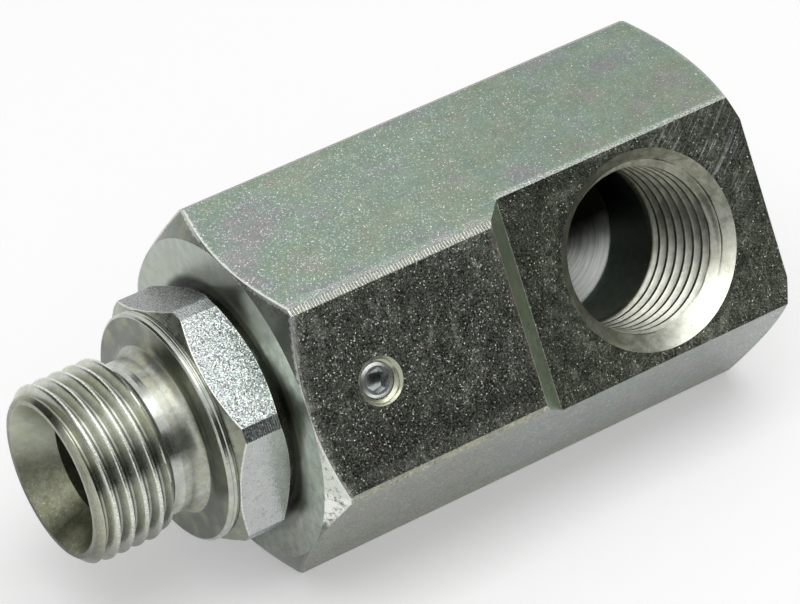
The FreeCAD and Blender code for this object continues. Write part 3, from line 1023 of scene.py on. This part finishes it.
# %% Turned and ridged zinc
def turned_zinc(name, colour, roughness, tint=0.25, edges=None, rings=0.012, pits=0.7,
                lightness=1.25, details=None):
    """Zinc over fine turning marks: smoother than the flats, with a faint yellow-green tint."""
    finish = Finish(name)
    base = finish.colour(finish.patchy(1.2, 0.3, 0.75, detail=4.0, rough=0.65), colour,
                         tuple(min(c * lightness, 1) for c in colour))
    stain = finish.patchy(3.0, 0.45, 0.7, 11.0, rough=0.5) * tint
    base = finish.colour(stain, base, (0.50, 0.49, 0.30))
    pit = finish.patchy(0.3, 0.70, 0.76, 5.0, detail=2.0, rough=0.5)
    base = finish.colour(pit * pits, base, (0.08, 0.09, 0.08))
    if details is not None:
        base = details(finish, base)
    if edges is not None:
        base = finish.colour(edges(finish), base, (0.74, 0.76, 0.71))
    marks = finish.noise(0.17, 3.0, where=finish.point(finish.x, from_axis(finish)))
    rough = roughness + finish.noise(1.5, 3.0, offset=2.0) * 0.14 - 0.07
    return finish.finish(base, rough, finish.bumped(marks, rings))


def ridged_zinc(name, spacing, dark, light, depth=0.14, share=0.75):
    """The narrow corner bands, where the lathe's feed left a ridge at every turn."""
    finish = Finish(name)
    wobble = finish.noise(1.4, 3.0) * 0.8 + finish.noise(0.3, offset=9.0) * 0.3
    wave = ((finish.x / spacing + wobble) * (2 * math.pi)).sine() * 0.5 + 0.5
    ridge = wave ** 4.0
    grit = finish.patchy(0.22, 0.38, 0.62)
    colour = finish.colour(ridge * share + grit * (1 - share), dark, light)
    colours = finish.grains(0.13)[0]
    relief = finish.bumped(ridge * share + grit * 0.2, spacing * depth)
    return finish.finish(colour, 0.30, finish.tilted(0.25, colours, relief))


housing_finishes[BAND] = ridged_zinc(
    "zinc_on_corner_bands", 0.37, (0.15, 0.16, 0.13), (0.74, 0.75, 0.70))
housing_finishes[SCREWED] = turned_zinc("zinc_in_filling_thread", (0.36, 0.37, 0.29), 0.25, 0.3)

# %% [markdown]
# ## The ends of the bar
#
# The front face has painted shade in a crisp ring beside the gap, where the spanner hexagon
# shades it, a painted reflection of the hexagon's bright flat just outside that ring, and painted
# shade towards the bottom. The chamfer has painted shade beside the port flat and low down, and a
# painted highlight at the bar's lower corner.

# %% Finishes of the bar's ends
def face_details(finish, colour):
    """Painted shade beside the gap and low down, and a painted reflection just outside it."""
    radius = from_axis(finish)
    # painted reflection of the spanner hexagon's bright flat, in a band just outside the gap
    rubbed_and_sheen = radius.between(15.2, 16.2) * (finish.y + finish.z * 0.2).between(-5.0, -9.0)
    patch = finish.patchy(1.5, 0.35, 0.62, 16.0, detail=4.0)
    colour = finish.scaled(colour, rubbed_and_sheen * (patch * 0.5 + 0.3) + 1.0)
    # painted shade: darker towards the bottom of the face
    colour = finish.scaled(colour, finish.z.between(-16.0, 6.0) * 0.5 + 0.44)
    # painted shade in the ring beside the gap, which the spanner hexagon shades
    painted_gap_shade = radius.between(14.1, 15.1) * 0.88 + 0.12
    return finish.scaled(colour, painted_gap_shade.most(finish.x.between(0.0, 1.0)))


def chamfer_details(finish, colour):
    """Painted shade beside the port flat and low down; a painted highlight at the lower corner."""
    front = finish.x.between(0.0, -1.0)
    # painted shade on the front chamfer beside the port flat, and towards the bottom
    beside = front * finish.z.between(3.0, 7.0) * finish.y.between(-9.0, -11.0)
    colour = finish.scaled(colour, 1 - beside * 0.35)
    colour = finish.scaled(colour, 1 - front * finish.z.between(-4.0, -6.0) * 0.35)
    # painted highlight on the chamfer at the bar's lower corner, broken into patches
    corner = front * finish.z.between(7.0, 3.5) * finish.z.between(-5.5, -4.0)
    corner = corner * finish.y.between(-17.0, -18.0)
    worn = finish.patchy(0.9, 0.34, 0.50, 2.0, detail=4.0, rough=0.75)
    painted_shine = finish.colour(finish.z.between(0.4, -0.4), (0.68, 0.72, 0.65), (0.94, 0.96, 0.90))
    return pitted_edge(finish, finish.colour(corner * worn * 0.9, colour, painted_shine))


def ramp_edges(finish):
    """The two thin lines where the ramp meets the flat and the seat."""
    broken = finish.patchy(0.8, 0.30, 0.50, 6.0, rough=0.5)
    upper = abs(finish.x - 7.5).between(0.22, 0.10)
    foot = abs(finish.x - RAMP_FOOT_X).between(0.20, 0.08)
    return (upper * 0.45 + foot * 0.6) * broken


def band_details(finish, colour):
    """Brown and olive specks, and paler scuffs, on the band that touches the bench."""
    speck = finish.patchy(0.45, 0.53, 0.62, 1.0, detail=4.0, rough=0.75)
    colour = finish.colour(speck * 0.7, colour, (0.13, 0.12, 0.08))
    return finish.colour(finish.patchy(0.5, 0.56, 0.66, 7.0) * 0.5, colour, (0.66, 0.66, 0.58))


housing_finishes[TURNED] = turned_zinc(
    "zinc_on_front_face", (0.38, 0.42, 0.37), 0.34, 0.15, rings=0.006, details=face_details)
housing_finishes[CONE] = turned_zinc(
    "zinc_on_chamfers", (0.19, 0.215, 0.185), 0.28, 0.15, body_edges, pits=0.8,
    details=chamfer_details)
housing_finishes[RAMP] = turned_zinc(
    "zinc_on_the_ramp", (0.17, 0.215, 0.15), 0.30, 0.15, ramp_edges, rings=0.004)
housing_finishes[LOWER] = turned_zinc(
    "zinc_on_lower_band", (0.29, 0.295, 0.25), 0.36, 0.3, pits=0.9, details=band_details)

# %% [markdown]
# ## Inside the port
#
# The thread and the countersink have painted light on the lower side and painted shade on the
# upper, where they also carry a straw stain and patches of dirt, a painted highlight low on the
# countersink, and painted shade in the roots. The plain wall below has painted shade, darkest
# under its upper side. The floor was faced by a cutter that left it slightly dished, so its lower
# side catches the overhead lamp: we point its normal at a focus above the floor rather than dish
# the mesh, which keeps to the bored shape. Its colour has painted light on the lower side and
# painted shade on the upper.

# %% Finishes inside the port
FOCUS = 17.0


def faced_floor(name):
    """The port's floor: turned marks on a slight dish, and painted light low and shade high."""
    finish = Finish(name)
    up, radius = round_port(finish)[1:]
    marks = finish.noise(0.5, 4.0, 0.7, where=finish.point(radius * 1.5, finish.noise(5.0, 1.0)))
    focus = PORT_OUT * (SEAT - PORT_DEPTH + FOCUS) + Vector((PORT_X, 0.0, AXIS_Z))
    dished = finish.unit(finish.vector("SUBTRACT", tuple(focus), finish.place))
    colour = finish.colour(marks.between(0.35, 0.65), (0.60, 0.62, 0.59), (0.93, 0.95, 0.92))
    # painted light on the floor's lower side and painted shade on its upper side
    painted_floor_light = (up + finish.noise(2.0, offset=3.0) * 2.0).between(1.5, -3.5)
    colour = finish.scaled(colour, painted_floor_light * 0.97 + 0.03)
    return finish.finish(colour, 0.38, finish.bumped(marks, 0.02, dished))


def bore_details(finish, colour):
    """The port's plain wall has painted shade, darkest under its upper side."""
    return finish.scaled(colour, up_port_flat(finish).between(3.0, -8.5) * 0.88 + 0.12)


def port_thread_details(finish, colour):
    """Painted light below, shade above and in the roots, and a highlight on the countersink."""
    across, up, radius = round_port(finish)
    reach = radius + SEAT - finish.y * PORT_OUT.y - finish.z * PORT_OUT.z
    cone = reach.between(PORT_MINOR + COUNTERSINK - 0.14, PORT_MINOR + COUNTERSINK - 0.04)
    # painted light towards the lower side of the port, and a painted highlight low on the
    # countersink
    painted_light_side = (across * 0.45 - up * 0.89).between(-8.0, 10.0)
    rubbed_and_sheen = (across * 0.6 - up * 0.8).between(1.0, 10.5)
    patch = finish.patchy(1.6, 0.35, 0.65, 3.0, detail=4.0)
    sunk = finish.scaled(colour, rubbed_and_sheen ** 6.0 * 0.7 + patch * 0.22 + 0.30)
    straw = finish.vector("MULTIPLY", sunk, (1.0, 1.0, 0.72))
    sunk = finish.colour(0.35 * (1 - rubbed_and_sheen), sunk, straw)
    crest = finish.scaled(colour, painted_light_side ** 1.5 * 0.66 + 0.16)
    # painted shade in the roots of the thread
    crest = finish.scaled(crest, 1 - radius.between(9.75, 10.0) * 0.75)
    # dark patches of dirt, kept to the upper side in painted shade
    dirt_and_shade = finish.patchy(0.5, 0.55, 0.66, 5.0) * (1 - painted_light_side)
    return finish.colour(dirt_and_shade * 0.5, finish.colour(cone, crest, sunk), (0.10, 0.10, 0.06))


def dress(piece, finishes):
    """Gives a piece its finishes, in the order of their numbers."""
    for number in sorted(finishes):
        piece.data.materials.append(finishes[number])
    print(piece.name, "has", len(finishes), "finishes")


housing_finishes[THREADED] = turned_zinc(
    "zinc_in_the_port", (0.60, 0.61, 0.54), 0.40, 0.2, details=port_thread_details)
housing_finishes[BORED] = turned_zinc(
    "bare_steel_in_the_bores", (0.50, 0.58, 0.52), 0.38, 0.05, details=bore_details)
housing_finishes[FACED] = faced_floor("faced_floor_of_the_port")
dress(housing, housing_finishes)

# %% [markdown]
# ## The spindle's finishes
#
# The spanner hexagon faces the lamp on one flat, which glitters, has painted shade on the flats
# towards the back, and turns its lower flats away, which are plain and pitted. The sealing cone has
# painted light above and painted shade below, streaked yellow where the mating cone rubs. The
# crests of the stud are worn to a broken bright line, which is also a painted glint strongest on
# top, its first turn is stained, and its roots and underside have painted shade. The journal inside
# the housing is coloured near black as painted shade.

# %% Finishes of the spindle
def hexagon_edges(finish):
    """The worn edges of the spanner hexagon."""
    return chamfer_edge(finish, SPANNER_HEXAGON, 0.14)


def nut_details(finish, colour):
    """Worn edges; painted shade on the flats towards the back, and plain pitted lower flats."""
    # painted shade on the flats towards the back, away from the lamp
    colour = finish.scaled(colour, finish.y.between(1.5, -0.5) * 0.48 + 0.52)
    pit = finish.patchy(0.35, 0.60, 0.66, 1.0, rough=0.75)
    plain = finish.scaled((0.49, 0.51, 0.50), finish.noise(1.2, 4.0, 0.75) * 0.5 + 0.75)
    plain = finish.colour(pit * 0.7, plain, (0.12, 0.13, 0.12))
    colour = finish.colour(finish.z.between(7.0, 6.5) * 0.85, colour, plain)
    return finish.colour(hexagon_edges(finish), colour, (0.85, 0.86, 0.84))


def mouth_details(finish, colour):
    """Painted light above, painted shade and yellow streaks below, where the mating cone rubs."""
    # painted shade below, mixed with darker yellowish streaks
    low = finish.z.between(2.0, -6.0)
    streak = finish.patchy(0.9, 0.35, 0.65, detail=4.0, rough=0.75)
    colour = finish.colour(low * (0.55 + streak * 0.35), colour, (0.15, 0.155, 0.09))
    speck = finish.patchy(0.25, 0.58, 0.68, 2.0, rough=0.75) * low
    colour = finish.colour(speck * 0.6, colour, (0.62, 0.58, 0.42))
    # painted light: brighter towards the top
    return finish.scaled(colour, finish.z.between(-4.0, 6.0) * 0.5 + 0.9)


def land_details(finish, colour):
    """Straw-coloured spots and dark specks."""
    spot = finish.patchy(0.8, 0.50, 0.62, 4.0, detail=4.0, rough=0.75)
    colour = finish.colour(spot * 0.5, colour, (0.36, 0.345, 0.22))
    speck = finish.patchy(0.28, 0.60, 0.68, 8.0, rough=0.75)
    return finish.colour(speck * 0.5, colour, (0.12, 0.12, 0.09))


def crest_details(finish, colour):
    """Crests worn to a broken bright line, partly painted glint; painted shade below and in roots.
    """
    radius = from_axis(finish)
    # the bright crest line is partly wear and partly a painted glint, strongest on top
    glitter = finish.patchy(0.22, 0.45, 0.62, 2.0, detail=2.0)
    glitter = glitter * (finish.z.between(-9.0, -3.0) * 0.8 + 0.2)
    colour = finish.colour(radius.between(10.28, 10.42) * glitter * 0.9, colour, (0.92, 0.94, 0.88))
    nose = finish.x.between(STUD_X + 1.3, STUD_X + 0.5)
    lines = finish.patchy(0.25, 0.4, 0.6, where=finish.stretched(4.0, 0.5, 0.5))
    stained = finish.colour(lines * 0.6, (0.22, 0.22, 0.13), (0.55, 0.55, 0.42))
    colour = finish.colour(nose * 0.6, colour, stained)
    # painted shade towards the underside of the stud
    colour = finish.scaled(colour, finish.z.between(-8.0, 2.0) * 0.65 + 0.35)
    # painted shade in the roots
    return finish.scaled(colour, radius.between(9.25, 10.1) * 0.38 + 0.62)


dress(spindle, {
    SPINDLE_TURNED: turned_zinc("zinc_on_turned_spindle", (0.41, 0.43, 0.395), 0.25, 0.2,
                                lightness=1.35),
    SPINDLE_THREAD: turned_zinc("zinc_on_stud_thread", (0.54, 0.56, 0.50), 0.27, 0.3,
                                details=crest_details),
    SPINDLE_DRAWN: zinc_flat("zinc_on_spanner_flats", (0.10, 0.12, 0.13), (0.64, 0.67, 0.65), 0.22,
                             0.5, 0.05, mottle=(0.26, 0.46), fleck=0.6, grain=0.11,
                             details=nut_details,
                             calm=lambda finish: finish.z.between(6.5, 7.5) * 0.85 + 0.15),
    SPINDLE_BAND: ridged_zinc("zinc_on_spanner_corners", 0.27, (0.14, 0.16, 0.16),
                              (0.78, 0.82, 0.82), 0.08, 0.45),
    SPINDLE_CONE: turned_zinc("zinc_on_sealing_cone", (0.34, 0.36, 0.30), 0.38, 0.3, rings=0.01,
                              details=mouth_details),
    SPINDLE_CHAMFER: turned_zinc("zinc_on_spanner_chamfers", (0.22, 0.24, 0.20), 0.26, 0.3,
                                 hexagon_edges),
    # near-black colour: painted shade for the journal, seen only in the gap
    SPINDLE_INSIDE: turned_zinc("zinc_inside_the_housing", (0.06, 0.065, 0.06), 0.3, 0.1),
    SPINDLE_LAND: turned_zinc("zinc_on_land", (0.35, 0.365, 0.325), 0.38, 0.5, rings=0.006,
                              lightness=1.5, details=land_details),
    SPINDLE_FACE: turned_zinc("zinc_on_collar_face", (0.14, 0.15, 0.13), 0.30, 0.3, rings=0.006),
})

# %% [markdown]
# ## The screw and the pieces inside
#
# The screw is brighter than its hole, and its socket has a darker colour as painted shade. Nothing
# inside can be seen while the union is whole, but someone may take it apart, so the rings and the
# balls keep their packed shapes and get true finishes too: matt black rubber, brown and white
# bearing plastics, and balls polished far finer than the turned steel.

# %% Finishes of the screw and the hidden pieces
def moulded(name, colour, roughness, fleck):
    """Rubber or plastic with a faint mottle and a fine moulded grain."""
    finish = Finish(name)
    base = finish.colour(finish.noise(0.8, 3.0), colour, tuple(c * fleck for c in colour))
    rough = roughness + finish.noise(2.0) * 0.1
    return finish.finish(base, rough, finish.bumped(finish.noise(0.3), 0.01), metallic=0.0)


dress(screw, {0: turned_zinc("steel_of_filling_screw", (0.84, 0.88, 0.87), 0.3, 0.0, pits=0.2),
              # the socket's darker colour is painted shade in the recess
              1: turned_zinc("steel_in_the_socket", (0.38, 0.42, 0.41), 0.2, 0.0, pits=0.2)})
BROWN, WHITE = (0.25, 0.14, 0.07), (0.75, 0.73, 0.66)
hidden_finishes = {
    "dust_wiper": moulded("black_rubber_of_wiper", (0.025, 0.025, 0.027), 0.55, 1.8),
    "seal_ring": moulded("black_rubber_of_seal", (0.03, 0.03, 0.03), 0.5, 1.6),
    "front_guide_ring": moulded("brown_guide_plastic", BROWN, 0.45, 1.3),
    "rear_guide_ring": moulded("brown_guide_plastic_rear", BROWN, 0.45, 1.3),
    "front_backup_ring": moulded("white_backup_plastic", WHITE, 0.4, 0.93),
    "rear_backup_ring": moulded("white_backup_plastic_rear", WHITE, 0.4, 0.93),
}
ball_finish = turned_zinc("bearing_ball_steel", (0.58, 0.59, 0.60), 0.12, 0.0, rings=0.001)
for node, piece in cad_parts.items():
    if node in hidden_finishes or node.startswith("ball_"):
        for slot in piece.material_slots:
            slot.material = hidden_finishes.get(node, ball_finish)

# %% [markdown]
# ## Light
#
# Metal shows what stands round it, so we light it as a small studio would: white all round, a
# soft box above that gives the long highlights, and three dark cards. The large one stands low in
# front; the flats that face down the port's side mirror it, which is why they look nearly black
# while the top looks pale. A card behind and one low at the stud's end draw the dark bands on the
# turned parts. The cards are hidden from the camera and throw no shadow; only reflections see
# them.

# %% Studio
def world_light():
    """White for whatever is seen or mirrored, and a softer fill for matt surfaces."""
    world = bpy.data.worlds.new("studio")
    world.use_nodes = True
    bpy.context.scene.world = world
    nodes = Nodes(world.node_tree)
    camera_ray = nodes.add("ShaderNodeLightPath", output="Is Camera Ray")
    seen = camera_ray.most(camera_ray.beside("Is Glossy Ray"))
    clear = seen.most(camera_ray.beside("Is Transmission Ray"))
    background = world.node_tree.nodes["Background"]
    background.inputs["Color"].default_value = (1, 1, 1, 1)
    nodes.put(background.inputs["Strength"], clear * 0.5 + 0.5)


def facing(piece, stand, target, front):
    """Stands a lamp or a card at one point and turns its front to another."""
    piece.location = stand
    sight = Vector(target) - Vector(stand)
    piece.rotation_euler = sight.to_track_quat(front, "Y").to_euler()


def soft_box(name, stand, target, size, radiance):
    """A lamp of a given width and depth in metres, facing its target."""
    data = bpy.data.lights.new(name, "AREA")
    data.shape = "RECTANGLE"
    data.size, data.size_y = size
    data.energy = radiance * math.pi * size[0] * size[1]
    facing(placed(name, data), stand, target, "-Z")


def rectangle(name, width, height):
    """A flat sheet with its middle at the origin."""
    x, y = width / 2, height / 2
    mesh = bpy.data.meshes.new(name)
    mesh.from_pydata([(-x, -y, 0), (x, -y, 0), (x, y, 0), (-x, y, 0)], [], [(0, 1, 2, 3)])
    return placed(name, mesh)


def card(name, stand, target, width, height, colour):
    """A stiff card on the set that only reflections see."""
    piece = rectangle(name, width, height)
    facing(piece, stand, target, "Z")
    for ray in ("camera", "diffuse", "shadow", "transmission"):
        setattr(piece, "visible_" + ray, False)
    piece.data.materials.append(Finish(name + "_paper").finish(colour, 0.9, metallic=0.0))


world_light()
soft_box("overhead_box", (-0.02, -0.09, 0.56), (-0.02, -0.09, 0.0), (0.74, 0.32), 1.7)
card("dark_card", (0.25, -0.55, 0.24), (0.25, 0, 0.24), 1.5, 0.54, (0.012, 0.014, 0.013))
card("side_card", (-0.52, 0.50, 0.40), (0, 0, 0.05), 0.66, 0.90, (0.05, 0.055, 0.05))
card("low_card", (-0.62, 0.06, 0.05), (0, 0, 0.02), 0.56, 0.16, (0.05, 0.055, 0.05))

# %% [markdown]
# ## The floor
#
# The floor is a plain pale sheet, just below the union so that the two don't fight for the same
# place. It glows a little for the camera and for reflections, as paper under studio light does,
# which keeps it near white while the union still throws a soft shadow on it.

# %% Floor
floor = rectangle("floor", 6, 6)
floor.location.z = -0.0001
paper = Finish("white_floor")
camera_ray = paper.add("ShaderNodeLightPath", output="Is Camera Ray")
glow = camera_ray * 0.30 + camera_ray.beside("Is Glossy Ray") * 0.3
paper.put(paper.shader.inputs["Emission Color"], (1.0, 1.0, 1.0))
paper.put(paper.shader.inputs["Emission Strength"], glow)
floor.data.materials.append(paper.finish((0.88, 0.88, 0.88), 0.9, metallic=0.0))

# %% [markdown]
# ## The end
#
# The finer meshes must stay inside the box of the packed solids. That closes the lesson.
